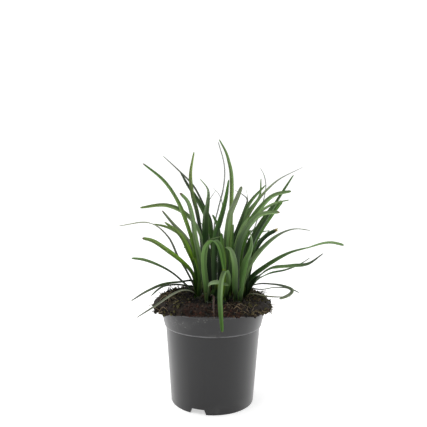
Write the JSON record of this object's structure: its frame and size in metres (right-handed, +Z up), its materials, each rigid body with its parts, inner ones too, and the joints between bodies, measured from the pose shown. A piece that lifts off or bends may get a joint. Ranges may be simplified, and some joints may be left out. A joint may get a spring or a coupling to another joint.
{
  "type": "liriope in a nursery pot",
  "caption": "Clump of arching strap-shaped leaves on short crowns standing in soil, filling a tapered plastic nursery pot with a collar and a notched foot ring.",
  "frame": {"origin": "on the floor, at the middle of the pad under the pot, on the pot's axis", "axes": "+Z up along the pot's axis, -Y towards the front of the plant, +X to its right"},
  "size_m": [0.2563, 0.1687, 0.2962],
  "materials": {
    "pot_plastic": "satin dark grey",
    "potting_soil": "matt, crumbly and fibrous",
    "leaf": "satin green"
  },
  "bodies": {
    "root": {"pot": "pot_plastic", "soil": "potting_soil", "shoot_west": "leaf", "shoot_north_west": "leaf", "shoot_south_west": "leaf", "shoot_centre": "leaf", "shoot_south": "leaf", "shoot_south_east": "leaf", "shoot_east": "leaf", "shoot_centre_east": "leaf", "shoot_north": "leaf", "shoot_north_east": "leaf"}
  },
  "joints": []
}
